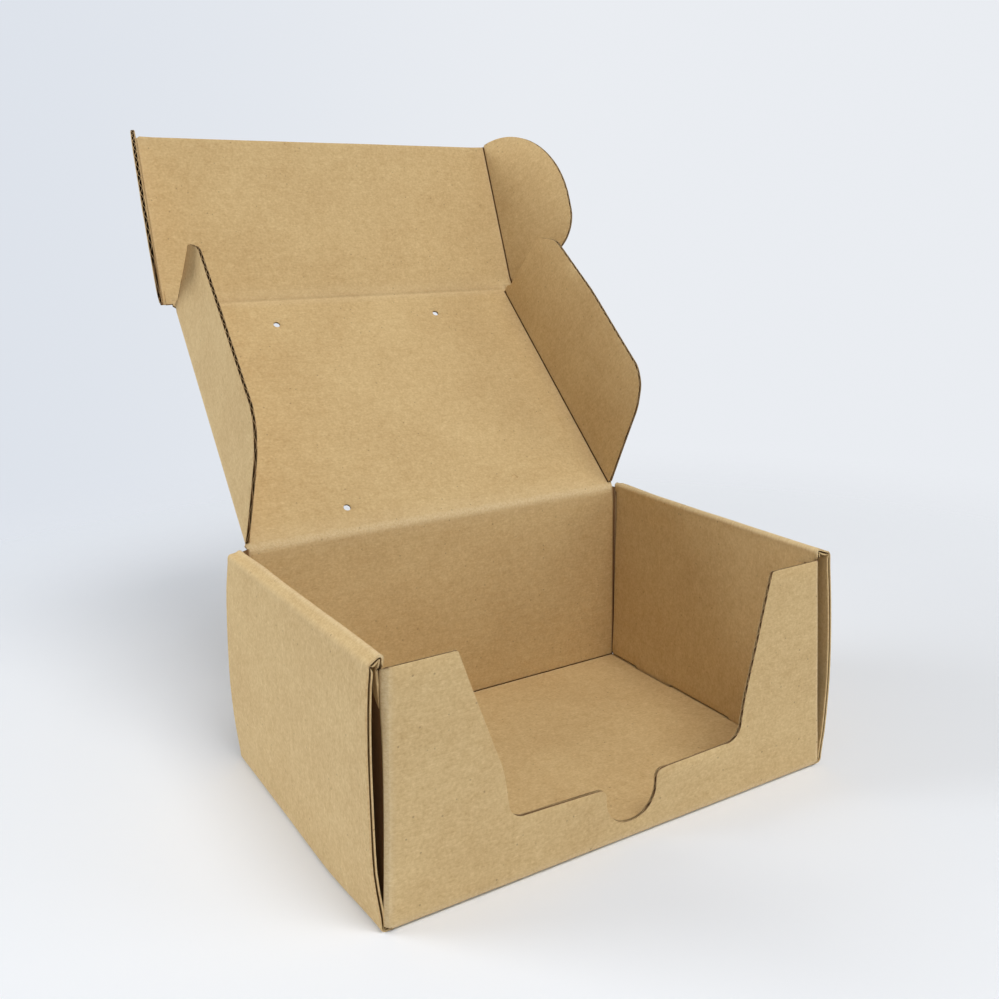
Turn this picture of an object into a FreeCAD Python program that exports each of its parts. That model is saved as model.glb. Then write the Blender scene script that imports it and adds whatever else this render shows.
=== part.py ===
"""Corrugated display mailer: a one-piece die-cut box, folded up and standing with its lid open.

The blank is fluted board. Every panel keeps the board's thickness, every fold is a rolled bend,
and the flutes are hollow wherever a cut runs across them.
Millimetres, +Z up. The front wall faces -Y. The origin is the middle of the underside of the tray.
"""
import FreeCAD, Part
import math
import os

V = FreeCAD.Vector

# The board: B flute, as thick as it stays in the folded walls.
BOARD = 2.6            # caliper
LINER = 0.30           # facing on each side of the fluting
PITCH = 6.3            # one full wave of the fluting
CREST = 1.3            # width of the fluting's rounded crest
FLUTING = 0.28         # thickness of the fluted sheet

# The tray
WIDTH = 264.0          # across the outer side panels
DEPTH = 177.0          # across the front and back walls
CREASE_HEIGHT = 118.0  # middle of the board at the crease between back wall and lid
FRONT_HEIGHT = 115.4   # shoulders of the front wall
EAR_SLOT = 3.2         # gap in each side wall that takes a closing ear
LAYER_GAP = 0.2        # air between folded layers
SIDE_SETBACK = 2.0     # side panels stop this far inside the front and back faces
SHOULDER = 113.2       # where the outer side panel starts to roll over
RIM = 121.6            # where the sloping rim would meet the inner side panel, before it is rounded
FOLD = 2.8             # outer radius of a fold
CORNER_FOLD = 4.0      # outer radius where front and back walls turn into their corner flaps
CORNER_FLAP = 72.0     # how far a corner flap reaches along the side wall
TAB_LENGTH = 34.0      # lock tab under the inner side panel
TAB_PLACES = (-43.0, 43.0)
TAB_PLAY = 0.3

# The display opening in the front wall
CUT_TOP = 182.0        # width at the shoulders
CUT_BOTTOM = 130.0     # width at the sill, before the corners are rounded
SILL = 33.0
CUT_RADIUS = 15.0
THUMB_WIDTH = 28.0
THUMB_BOTTOM = 9.5
THUMB_LIP = 4.0

# The lid and what is folded from it
LID_LENGTH = 177.3     # crease to crease
FLAP_AXIS = 119.25     # crease of a lid flap, from the middle
FLAP_DEPTH = 74.0
TUCK_HEIGHT = 110.5
EAR_AXIS = 127.8       # crease of an ear, from the middle
EAR_RADIUS = 67.0
HOLE = 3.0             # pinholes through the lid
HOLE_PLACES = ((-57.0, 17.5), (-57.0, 157.0), (57.0, 157.0))
MARK_PLACE = (57.0, 18.5)
CREASE_GAP = 0.2       # air between the round edge of a panel and the panel that carries it

# How far each fold is turned as the box stands
LID_OPEN = 136.0       # from closed
TUCK_BEND = 25.5       # from flat in line with the lid
FLAP_FOLD = 90.0
EAR_FOLD = 76.0

HALF = BOARD / 2
SIDE = WIDTH / 2                                   # outer face of an outer side panel
CORNER = SIDE - BOARD - EAR_SLOT                   # outer face of a corner flap
INNER = CORNER - 2 * BOARD - LAYER_GAP             # face of the inner side panel
FRONT = -DEPTH / 2
BACK = DEPTH / 2
SIDE_LENGTH = DEPTH - 2 * SIDE_SETBACK


def unit(a, b):
    """Direction from a to b in the drawing plane."""
    length = math.hypot(b[0] - a[0], b[1] - a[1])
    return (b[0] - a[0]) / length, (b[1] - a[1]) / length


def bent_path(points, radii, place):
    """Straight runs joined by tangent arcs at the inner points."""
    edges = []
    start = points[0]
    for corner, after, radius in zip(points[1:-1], points[2:], radii):
        u = unit(start, corner)
        v = unit(corner, after)
        turn = math.acos(max(-1.0, min(1.0, u[0] * v[0] + u[1] * v[1])))
        reach = radius * math.tan(turn / 2)
        rise = radius / math.cos(turn / 2) - radius
        across = unit((0, 0), (v[0] - u[0], v[1] - u[1]))
        first = (corner[0] - u[0] * reach, corner[1] - u[1] * reach)
        middle = (corner[0] + across[0] * rise, corner[1] + across[1] * rise)
        last = (corner[0] + v[0] * reach, corner[1] + v[1] * reach)
        edges.append(Part.LineSegment(place(*start), place(*first)).toShape())
        edges.append(Part.Arc(place(*first), place(*middle), place(*last)).toShape())
        start = last
    edges.append(Part.LineSegment(place(*start), place(*points[-1])).toShape())
    return edges


def inner_line(points, thickness):
    """The same run of points on the inner face of the board, to the left of the outer face."""
    normals = []
    for a, b in zip(points, points[1:]):
        u = unit(a, b)
        normals.append((-u[1], u[0]))
    inner = [(points[0][0] + normals[0][0] * thickness, points[0][1] + normals[0][1] * thickness)]
    for corner, n, m in zip(points[1:-1], normals, normals[1:]):
        scale = thickness / (1 + n[0] * m[0] + n[1] * m[1])
        inner.append((corner[0] + (n[0] + m[0]) * scale, corner[1] + (n[1] + m[1]) * scale))
    last = normals[-1]
    inner.append((points[-1][0] + last[0] * thickness, points[-1][1] + last[1] * thickness))
    return inner


def folded(points, radii, place, along):
    """A strip of board folded along its outer face, then drawn out along the folds."""
    inside = inner_line(points, BOARD)
    inner_radii = [max(radius - BOARD, 0.2) for radius in radii]
    edges = bent_path(points, radii, place)
    edges.append(Part.LineSegment(place(*points[-1]), place(*inside[-1])).toShape())
    edges += bent_path(inside[::-1], inner_radii[::-1], place)
    edges.append(Part.LineSegment(place(*inside[0]), place(*points[0])).toShape())
    return Part.Face(Part.Wire(Part.__sortEdges__(edges))).extrude(along)


def on_xz(y):
    return lambda a, b: V(a, y, b)


def on_yz(x):
    return lambda a, b: V(x, a, b)


def on_xy(z):
    return lambda a, b: V(a, b, z)


def outline(points, place, radii=None):
    """A closed outline; each point may have its corner rounded."""
    radii = radii or [0] * len(points)
    edges = []
    ends = []
    count = len(points)
    for i, corner in enumerate(points):
        u = unit(points[i - 1], corner)
        v = unit(corner, points[(i + 1) % count])
        radius = radii[i]
        if not radius:
            ends.append((corner, corner))
            continue
        turn = math.acos(max(-1.0, min(1.0, u[0] * v[0] + u[1] * v[1])))
        reach = radius * math.tan(turn / 2)
        rise = radius / math.cos(turn / 2) - radius
        across = unit((0, 0), (v[0] - u[0], v[1] - u[1]))
        first = (corner[0] - u[0] * reach, corner[1] - u[1] * reach)
        middle = (corner[0] + across[0] * rise, corner[1] + across[1] * rise)
        last = (corner[0] + v[0] * reach, corner[1] + v[1] * reach)
        edges.append(Part.Arc(place(*first), place(*middle), place(*last)).toShape())
        ends.append((first, last))
    for i in range(count):
        start, end = ends[i - 1][1], ends[i][0]
        if math.hypot(end[0] - start[0], end[1] - start[1]) > 1e-6:
            edges.append(Part.LineSegment(place(*start), place(*end)).toShape())
    return Part.Face(Part.Wire(Part.__sortEdges__(edges)))


def box(x0, x1, y0, y1, z0, z1):
    return Part.makeBox(x1 - x0, y1 - y0, z1 - z0, V(x0, y0, z0))


def mirrored(shape):
    return shape.mirror(V(0, 0, 0), V(1, 0, 0))


def flute_hollows(first, count, start, length, place, along):
    """The hollows between the facings and the fluting, every half wave on alternate sides.

    A hollow is widest under its facing and narrowest over the crest of the wave. place turns a
    distance along the row, a height above the middle of the board and a start into a point.
    """
    wide = PITCH / 2 - FLUTING - 0.5
    crest = CREST / 2
    top = HALF - LINER
    low = -(top - FLUTING)
    hollows = []
    for index in range(count):
        middle = first + index * PITCH / 2
        up = 1 if index % 2 else -1
        corners = [(middle - wide, up * top), (middle + wide, up * top),
                   (middle + crest, up * low), (middle - crest, up * low)]
        points = [place(a, b, start) for a, b in corners]
        face = Part.Face(Part.makePolygon(points + points[:1]))
        hollows.append(face.extrude(along * length))
    return hollows


def edge_groove(x, y, z0, z1, towards):
    """Where a cut runs along a flute, the edge shows two facings with a hollow between them."""
    deep = 1.8
    y0, y1 = (y, y + deep) if towards > 0 else (y - deep, y)
    return box(x + LINER, x + BOARD - LINER, y0, y1, z0, z1)


def make_tray():
    wall_top = CREASE_HEIGHT - HALF - CREASE_GAP
    bend_start = CORNER - CORNER_FOLD

    # Floor with front and back walls: one strip folded twice.
    section = [(FRONT, FRONT_HEIGHT), (FRONT, 0), (BACK, 0), (BACK, wall_top)]
    tray = folded(section, [FOLD, FOLD], on_yz(-bend_start), V(2 * bend_start, 0, 0))

    # Side wall: out along the floor, up, over the rim and down inside to the floor.
    roll = [(bend_start - 6, 0), (SIDE, 0), (SIDE, SHOULDER), (SIDE - 3.4, SHOULDER + 4.4),
            (INNER, RIM), (INNER, BOARD + LAYER_GAP)]
    side = folded(roll, [FOLD, 4.0, 3.2, 3.0], on_xz(-SIDE_LENGTH / 2), V(0, SIDE_LENGTH, 0))
    # The inner panel stops short of the folds at the front and back walls.
    relief = CORNER_FOLD + SIDE_SETBACK - BOARD / 2
    for sign in (-1, 1):
        edge = sign * SIDE_LENGTH / 2
        inside = edge - sign * (relief - SIDE_SETBACK)
        y0, y1 = sorted((edge + sign, inside))
        side = side.cut(box(INNER - 1, CORNER - BOARD + 0.1, y0, y1, BOARD + 0.05, RIM - 6.5))
    # Lock tabs pass through slots in the floor.
    for place in TAB_PLACES:
        y0, y1 = place - TAB_LENGTH / 2, place + TAB_LENGTH / 2
        slot = box(INNER - TAB_PLAY, INNER + BOARD + TAB_PLAY, y0 - TAB_PLAY, y1 + TAB_PLAY, -1, BOARD)
        tab = box(INNER, INNER + BOARD, y0, y1, 0.2, BOARD + 1)
        side = side.cut(slot).fuse(tab)
        tray = tray.cut([slot, mirrored(slot)])
    grooves = [edge_groove(SIDE - BOARD, -SIDE_LENGTH / 2, FOLD + 3, SHOULDER - 2, 1),
               edge_groove(SIDE - BOARD, SIDE_LENGTH / 2, FOLD + 3, SHOULDER - 2, -1),
               edge_groove(INNER, -SIDE_LENGTH / 2 + relief - SIDE_SETBACK, 8, RIM - 12, 1),
               edge_groove(INNER, SIDE_LENGTH / 2 - relief + SIDE_SETBACK, 8, RIM - 12, -1)]
    side = side.cut(grooves)

    # Corner flaps: each end of the front and back walls turns along the side wall, between its layers.
    flap_end = CORNER_FLAP
    front_turn = folded([(bend_start - 2, FRONT), (CORNER, FRONT), (CORNER, FRONT + flap_end)],
                        [CORNER_FOLD], on_xy(0), V(0, 0, FRONT_HEIGHT + 10))
    back_turn = folded([(CORNER, BACK - flap_end), (CORNER, BACK), (bend_start - 2, BACK)],
                       [CORNER_FOLD], on_xy(0), V(0, 0, FRONT_HEIGHT + 10))
    front_shape = outline([(FRONT - 1, 3.2), (FRONT + 6, 3.2), (FRONT + flap_end + 1, 9),
                           (FRONT + flap_end + 1, 104), (FRONT + 5, 112.6), (FRONT + 3, FRONT_HEIGHT - 1),
                           (FRONT - 1, FRONT_HEIGHT)],
                          on_yz(0), [0, 0, 8, 8, 0, 0, 0]).extrude(V(SIDE, 0, 0))
    back_shape = outline([(BACK + 1, 3.2), (BACK - 6, 3.2), (BACK - flap_end - 1, 9),
                          (BACK - flap_end - 1, 104), (BACK - 5, 112.6), (BACK + 1, 112.8)],
                         on_yz(0), [0, 0, 8, 8, 0, 0]).extrude(V(SIDE, 0, 0))
    front_turn = front_turn.common(front_shape)
    back_turn = back_turn.common(back_shape)

    right = [side, front_turn, back_turn]
    tray = tray.fuse(right + [mirrored(piece) for piece in right])

    # The display opening, with a thumb notch in its sill.
    top = FRONT_HEIGHT + 5
    spread = CUT_TOP / 2 + (top - FRONT_HEIGHT) * (CUT_TOP - CUT_BOTTOM) / 2 / (FRONT_HEIGHT - SILL)
    opening = outline([(-spread, top), (-CUT_BOTTOM / 2, SILL), (CUT_BOTTOM / 2, SILL), (spread, top)],
                      on_xz(FRONT - 1), [0, CUT_RADIUS, CUT_RADIUS, 0]).extrude(V(0, BOARD + 2, 0))
    thumb = THUMB_WIDTH / 2
    lip = THUMB_LIP
    notch = outline([(-thumb - lip, SILL + 1), (-thumb - lip, SILL), (-thumb, SILL),
                     (-thumb, THUMB_BOTTOM), (thumb, THUMB_BOTTOM), (thumb, SILL),
                     (thumb + lip, SILL), (thumb + lip, SILL + 1)], on_xz(FRONT - 1),
                    [0, 0, lip - 0.01, thumb - 0.01, thumb - 0.01, lip - 0.01, 0, 0])
    tray = tray.cut([opening, notch.extrude(V(0, BOARD + 2, 0))])

    # Flutes of the front wall open into the slanted sides of the display opening and the notch.
    rows = 34
    hollows = flute_hollows(SILL - 7 * PITCH / 2, rows, -bend_start, 2 * bend_start,
                            lambda a, b, s: V(s, FRONT + HALF + b, a), V(1, 0, 0))
    tray = tray.cut(hollows)
    return tray.removeSplitter()


def plate(points, radii=None):
    """A flat panel in its own plane, with the middle of the board at zero."""
    return outline(points, on_xy(-HALF), radii).extrude(V(0, 0, BOARD))


def round_edge_y(x, y0, y1):
    """The half-round edge of a panel whose crease runs along its own Y."""
    return Part.makeCylinder(HALF, y1 - y0, V(x, y0, 0), V(0, 1, 0))


def make_lid():
    """The lid panel, drawn from its crease at the back towards its crease at the front."""
    half_width = FLAP_AXIS - HALF - CREASE_GAP
    front = LID_LENGTH - HALF - CREASE_GAP
    panel = plate([(-half_width, 0), (half_width, 0), (half_width, front), (-half_width, front)])
    edge = Part.makeCylinder(HALF, 2 * half_width, V(-half_width, 0, 0), V(1, 0, 0))
    panel = panel.fuse(edge)
    holes = [Part.makeCylinder(HOLE / 2, BOARD + 2, V(x, y, -HALF - 1)) for x, y in HOLE_PLACES]
    # The fourth pinhole is only scored: its plug is still in the board.
    mark = Part.makeCylinder(HOLE / 2, 1, V(MARK_PLACE[0], MARK_PLACE[1], HALF - 0.25))
    mark = mark.cut(Part.makeCylinder(HOLE / 2 - 0.35, 1, V(MARK_PLACE[0], MARK_PLACE[1], HALF - 0.25)))
    return panel.cut(holes + [mark]).removeSplitter()


def make_tuck():
    half_width = EAR_AXIS - HALF - CREASE_GAP
    panel = plate([(-half_width, 0), (half_width, 0), (half_width, TUCK_HEIGHT), (-half_width, TUCK_HEIGHT)])
    edge = Part.makeCylinder(HALF, 2 * half_width, V(-half_width, 0, 0), V(1, 0, 0))
    groove = box(-half_width + 4, half_width - 4, TUCK_HEIGHT - 1.8, TUCK_HEIGHT + 1,
                 -HALF + LINER, HALF - LINER)
    return panel.fuse(edge).cut(groove).removeSplitter()


def make_lid_flap():
    """Right lid flap: X is its depth from the crease, Y the distance from the lid's back crease."""
    near, far = 3.4, 171.5
    panel = plate([(0, near), (2.5, near), (56, 21.5), (FLAP_DEPTH + 1, 29), (FLAP_DEPTH - 3, 152),
                   (58, far), (0, far)], [0, 0, 30, 20, 14, 9, 0])
    # No corner may reach further from the back crease than the front wall lets by.
    sweep = Part.makeCylinder(DEPTH - BOARD - HALF - 0.6, BOARD + 2, V(0, 0, -HALF - 1))
    panel = panel.common(sweep)
    panel = panel.fuse(round_edge_y(0, near, far))
    count = int((far - near) / (PITCH / 2))
    hollows = flute_hollows(near + 3.4, count - 1, 3.0, FLAP_DEPTH + 4,
                            lambda a, b, s: V(s, a, b), V(1, 0, 0))
    return panel.cut(hollows).removeSplitter()


def make_ear():
    """Right ear: X is its depth from the crease, Y the distance from the lid's front crease."""
    near = 7.0
    centre = (2.0, TUCK_HEIGHT + 1.5 - EAR_RADIUS)
    disc = Part.makeCylinder(EAR_RADIUS, BOARD, V(centre[0], centre[1], -HALF))
    block = plate([(0, near), (3, near), (centre[0] + EAR_RADIUS, 13), (centre[0] + EAR_RADIUS, centre[1]),
                   (0, centre[1])], [0, 0, 15, 0, 0])
    upper = plate([(0, centre[1]), (90, centre[1]), (90, 140), (0, 140)])
    tip = TUCK_HEIGHT + 0.5
    panel = block.fuse(disc.common(upper)).fuse(round_edge_y(0, near, tip))
    count = int((TUCK_HEIGHT - near) / (PITCH / 2))
    hollows = flute_hollows(near + 3.4, count - 1, 3.0, centre[0] + EAR_RADIUS + 4,
                            lambda a, b, s: V(s, a, b), V(1, 0, 0))
    return panel.cut(hollows).removeSplitter()


def frame(origin, axis, angle):
    return FreeCAD.Placement(V(*origin), FreeCAD.Rotation(V(*axis), angle))


def placed(shape, placement):
    moved = shape.copy()
    moved.transformShape(placement.toMatrix(), True)
    return moved


lid_frame = frame((0, BACK - HALF, CREASE_HEIGHT), (1, 0, 0), 180 - LID_OPEN)
tuck_frame = lid_frame.multiply(frame((0, LID_LENGTH, 0), (1, 0, 0), TUCK_BEND))
flap_frame = lid_frame.multiply(frame((FLAP_AXIS, 0, 0), (0, 1, 0), -FLAP_FOLD))
ear_frame = tuck_frame.multiply(frame((EAR_AXIS, 0, 0), (0, 1, 0), -EAR_FOLD))

lid_flap = placed(make_lid_flap(), flap_frame)
ear = placed(make_ear(), ear_frame)

nodes = {
    "tray": make_tray(),
    "lid_panel": placed(make_lid(), lid_frame),
    "tuck_panel": placed(make_tuck(), tuck_frame),
    "lid_flap_right": lid_flap,
    "lid_flap_left": mirrored(lid_flap),
    "ear_right": ear,
    "ear_left": mirrored(ear),
}

os.makedirs("parts", exist_ok=True)
for name, shape in nodes.items():
    solid = shape.Solids[0] if len(shape.Solids) == 1 else shape
    print(name, "solids", len(shape.Solids), "valid", shape.isValid(), "faces", len(shape.Faces),
          "volume %.0f" % shape.Volume, "box", [round(v, 1) for v in (
              shape.BoundBox.XMin, shape.BoundBox.XMax, shape.BoundBox.YMin, shape.BoundBox.YMax,
              shape.BoundBox.ZMin, shape.BoundBox.ZMax)])
    solid.exportStep("parts/" + name + ".step")

# Hinge points and directions, for whoever sets the joints.
for name, place, axis in (("lid", lid_frame, (1, 0, 0)), ("tuck", tuck_frame, (1, 0, 0)),
                          ("lid_flap", flap_frame, (0, 1, 0)), ("ear", ear_frame, (0, 1, 0))):
    base = place.Base
    way = place.Rotation.multVec(V(*axis))
    print(name, "crease at", [round(v, 3) for v in base], "along", [round(v, 5) for v in way])
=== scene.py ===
"""Kraft mailer box standing with its lid open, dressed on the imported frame.

The board is made as the real one is: cut flat, fluted, then folded up. A place on the flat blank has
three numbers in millimetres: u runs across the box, s runs from the front wall over the floor and the
back wall to the lid, and t is the height above the middle of the board, positive towards the inside.
"""
import math

import bmesh
import bpy
from bpy.props import FloatProperty, FloatVectorProperty, PointerProperty
from mathutils import Matrix, Vector, noise
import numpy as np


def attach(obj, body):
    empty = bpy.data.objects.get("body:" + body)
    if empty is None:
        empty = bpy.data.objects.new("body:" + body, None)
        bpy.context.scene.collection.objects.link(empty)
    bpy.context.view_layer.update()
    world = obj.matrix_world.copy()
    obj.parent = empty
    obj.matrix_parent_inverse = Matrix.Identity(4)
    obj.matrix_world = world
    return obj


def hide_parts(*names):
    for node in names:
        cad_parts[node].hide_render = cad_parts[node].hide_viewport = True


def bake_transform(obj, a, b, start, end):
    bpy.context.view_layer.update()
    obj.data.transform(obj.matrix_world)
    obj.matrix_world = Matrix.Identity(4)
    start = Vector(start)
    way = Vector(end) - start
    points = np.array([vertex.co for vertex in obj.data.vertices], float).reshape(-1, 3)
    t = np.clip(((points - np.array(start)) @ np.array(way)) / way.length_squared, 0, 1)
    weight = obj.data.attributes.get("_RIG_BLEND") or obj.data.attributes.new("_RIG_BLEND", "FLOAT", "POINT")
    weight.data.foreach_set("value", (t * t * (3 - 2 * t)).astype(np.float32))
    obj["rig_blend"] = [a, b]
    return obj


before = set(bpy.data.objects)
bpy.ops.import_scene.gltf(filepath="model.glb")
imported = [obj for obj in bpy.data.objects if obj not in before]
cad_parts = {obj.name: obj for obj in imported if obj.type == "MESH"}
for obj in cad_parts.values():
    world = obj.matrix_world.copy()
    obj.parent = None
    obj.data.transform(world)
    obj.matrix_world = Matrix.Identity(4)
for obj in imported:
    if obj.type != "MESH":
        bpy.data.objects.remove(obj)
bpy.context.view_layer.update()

bl_info = {
    "name": "Kraft Mailer Box",
    "version": (1, 0, 0),
    "blender": (4, 5, 0),
    "location": "View3D > Sidebar > Mailer",
    "description": "Cuts, flutes and folds the board of an open mailer box, and sets its stage",
    "category": "Object",
}

MM = 0.001
HALF = 1.3             # half the board
FACING = 0.30
FLUTE_SHEET = 0.40
WAVE = 6.3             # one full wave of the fluting
FLOOR = 87.2           # from the middle of the floor to the middle of the front or back wall
WALL_TOP = 118.0       # crease between back wall and lid
FRONT_TOP = 115.4
LID_LENGTH = 177.3
TUCK_LENGTH = 110.5
LID_CREASE = FLOOR + WALL_TOP - HALF
TUCK_CREASE = LID_CREASE + LID_LENGTH
TUCK_END = TUCK_CREASE + TUCK_LENGTH
FLAP_END = 175.2       # far end of a lid flap, from the lid's crease
LID_FLAP = 119.25      # crease of a lid flap
EAR = 127.8            # crease of an ear
CORNER = 124.9         # where a wall turns into its corner flap
CUT = 123.0            # cut between a corner flap and the strip that turns up into a side wall
SIDE = 130.7           # where the floor turns up into a side wall
INNER = 122.1          # middle of the inner panel of a side wall
RIM = 118.2            # height of the rolled rim of a side wall
WALL_REACH = 88        # the side walls lie within this, to the front and to the back
PINHOLE_BOX = 3.2      # half the clear square round a pinhole
SEAM = 3.0             # half the strip that bends at a crease
ACROSS_SEAMS = (LID_FLAP - SEAM, LID_FLAP + SEAM, EAR - SEAM, EAR + SEAM)
ALONG_SEAMS = (LID_CREASE - SEAM, LID_CREASE + SEAM, TUCK_CREASE - SEAM, TUCK_CREASE + SEAM)


class Run:
    """The middle of the board along a folded strip: straight runs in one plane, joined by round folds.

    Lengths along it count every fold as sharp, so they are the blank's own lengths.
    """

    def __init__(self, corners, radii, start=0.0):
        self.corners = [Vector(corner) for corner in corners]
        legs = list(zip(self.corners, self.corners[1:]))
        self.ways = [(after - before).normalized() for before, after in legs]
        self.stations = [start]
        for before, after in legs:
            self.stations.append(self.stations[-1] + (after - before).length)
        self.folds = []
        for i, radius in enumerate(radii, 1):
            before, after = self.ways[i - 1], self.ways[i]
            turn = math.atan2(before.cross(after), before.dot(after))
            reach = radius * math.tan(abs(turn) / 2)
            first = self.corners[i] - before * reach
            left = Vector((-before.y, before.x))
            centre = first + left * math.copysign(radius, turn)
            self.folds.append((self.stations[i], reach, turn, first, left, centre))

    def at(self, length, height):
        """The place at a length along the run, at a height above the middle of the board."""
        for station, reach, turn, first, left, centre in self.folds:
            if abs(length - station) < reach:
                share = (length - station + reach) / (2 * reach)
                return centre + Matrix.Rotation(turn * share, 2) @ (first + left * height - centre)
        leg = 0
        while leg < len(self.ways) - 1 and length > self.stations[leg + 1]:
            leg += 1
        way = self.ways[leg]
        along = self.corners[leg] + way * (length - self.stations[leg])
        return along + Vector((-way.y, way.x)) * height

    def scored(self, length, height):
        """How much painted shade a crease gets on the inside of the board, over a band wider than its pressed
        dent, and the height the pressing leaves.
        """
        gaps = [length - fold[0] for fold in self.folds if 0.9 < fold[2] < 1.8]
        dent = sum(math.exp(-(gap / 0.75) ** 2) for gap in gaps)
        # painted shade over a band wider than the pressed dent
        shown = sum(math.exp(-(gap / 1.6) ** 2) for gap in gaps)
        return shown, height - max(0.0, height + 1.0) * 0.6 * dent

    def near_fold(self, length, spread=2.4):
        """One on a fold, falling to nothing away from it."""
        gaps = [abs(length - fold[0]) for fold in self.folds]
        return math.exp(-(min(gaps) / spread) ** 2) if gaps else 0.0


def aim(degrees):
    return math.cos(math.radians(degrees)), math.sin(math.radians(degrees))


LID_WAY = aim(44.0)
TUCK_WAY = aim(69.5)
LID_EDGE = (FLOOR + LID_LENGTH * LID_WAY[0], WALL_TOP + LID_LENGTH * LID_WAY[1])
SPINE = Run([(-FLOOR, FRONT_TOP), (-FLOOR, HALF), (FLOOR, HALF), (FLOOR, WALL_TOP), LID_EDGE,
             (LID_EDGE[0] + 120 * TUCK_WAY[0], LID_EDGE[1] + 120 * TUCK_WAY[1])],
            [1.5, 1.5, 5.0, 8.0], start=-FLOOR - FRONT_TOP + HALF)
SIDE_WALL = Run([(0, 0), (SIDE, 0), (SIDE, 115.6), (INNER, RIM), (INNER, -2)], [1.5, 2.2, 0.4])
CORNER_FLAP = Run([(0, 0), (CORNER, 0), (CORNER, 90)], [1.6])
FLAP_RUN = Run([(0, 0), (LID_FLAP, 0), (LID_FLAP, 90)], [1.6])
EAR_WAY = aim(76.0)
EAR_RUN = Run([(0, 0), (EAR, 0), (EAR + 90 * EAR_WAY[0], 90 * EAR_WAY[1])], [1.6])
FLAT = Run([(0, 0), (200, 0)], [])
SHOULDER, RIDGE = SIDE_WALL.stations[2:4]
BASE = RIDGE + 116.2   # lower edge of an inner side panel


def front(z):
    """Where a height on the front wall lies along the blank."""
    return -(FLOOR + z - HALF)


def back(z):
    return FLOOR + z - HALF


def curve(value, keys):
    """Runs smoothly through the keys, each a place and the value there."""
    if value <= keys[0][0]:
        return keys[0][1]
    if value >= keys[-1][0]:
        return keys[-1][1]
    slopes = [(after[1] - before[1]) / (after[0] - before[0]) for before, after in zip(keys, keys[2:])]
    slopes = [0.0] + slopes + [0.0]
    i = max(k for k in range(len(keys) - 1) if keys[k][0] <= value)
    (x0, y0), (x1, y1) = keys[i], keys[i + 1]
    gap = x1 - x0
    share = (value - x0) / gap
    ease = share * share * (3 - 2 * share)
    return (y0 + (y1 - y0) * ease + gap * slopes[i] * share * (1 - share) ** 2
            - gap * slopes[i + 1] * share * share * (1 - share))


def stood(across, u, s, t, on_floor=False):
    """The place of a point of the blank, and how much painted shade it gets in a pressed crease."""
    side = -1 if u < 0 else 1
    shaded, t = across.scored(abs(u), t)
    more = 0.0
    if not on_floor:
        more, t = SPINE.scored(s, t)
    x, n = across.at(abs(u), t)
    y, z = (s, HALF + n) if on_floor else SPINE.at(s, n)
    return Vector((side * x, y, z)), (max(shaded, more) if t > -0.9 else 0.0)


def drift(a, b, size, seed):
    """A slow, fixed unevenness between -1 and 1."""
    return noise.noise(Vector((a / size, b / size, seed)))


# How far an outer side wall stands out, by the length up it.
FRONT_SWELL = {-1: [(0, -2.4), (25, 0.2), (52, 1.0), (78, 1.2), (104, 0.1), (116, -1.1)],
               1: [(0, -1.1), (18, 1.1), (35, 2.4), (49, 3.0), (69, 2.7), (91, 1.3), (116, -0.9)]}
MIDDLE_SWELL = [(0, 0.5), (20, 0.9), (60, 1.2), (95, 0.3), (116, -0.8)]
REAR_SWELL = [(0, 0.8), (15, 2.4), (36, 3.9), (59, 4.4), (81, 3.9), (98, 3.1), (116, 1.4)]
# How far its rim leans out, from front to back.
RIDGE_LEAN = {-1: [(-86, 3.1), (-50, 3.1), (-16, 3.6), (30, 4.2), (86, 4.6)], 1: [(20, 0), (86, 3.4)]}
FLAP_SKEW = {-1: 2.8, 1: 1.8}    # how far a flap's crease has drifted out at its rear end
EAR_SKEW = {-1: 0.3, 1: -1.2}    # and an ear's crease, all along
# How much wider the front wall is than the blank, at each side, by height.
FRONT_WIDTH = {-1: [(0, 2.4), (25, 1.4), (51, 0.4), (77, -0.3), (103, -1.0), (118, -1.6)],
               1: [(0, 2.2), (38, 0.1), (83, -2.4), (118, -4.2)]}


def wall_lean(side, y, z):
    """How far the inner panel of a side wall leans out."""
    middle = curve(y, [(-84, 0.2), (-32, -0.2), (14, 1.0), (46, 2.1), (84, 1.8)])
    return (middle * curve(z, [(1.5, 0.35), (31, 1), (92, 0.9), (118, 0)])
            + curve(y, RIDGE_LEAN[side]) * curve(z, [(21, 0), (78, 0.2), (118, 1)]))


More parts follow.
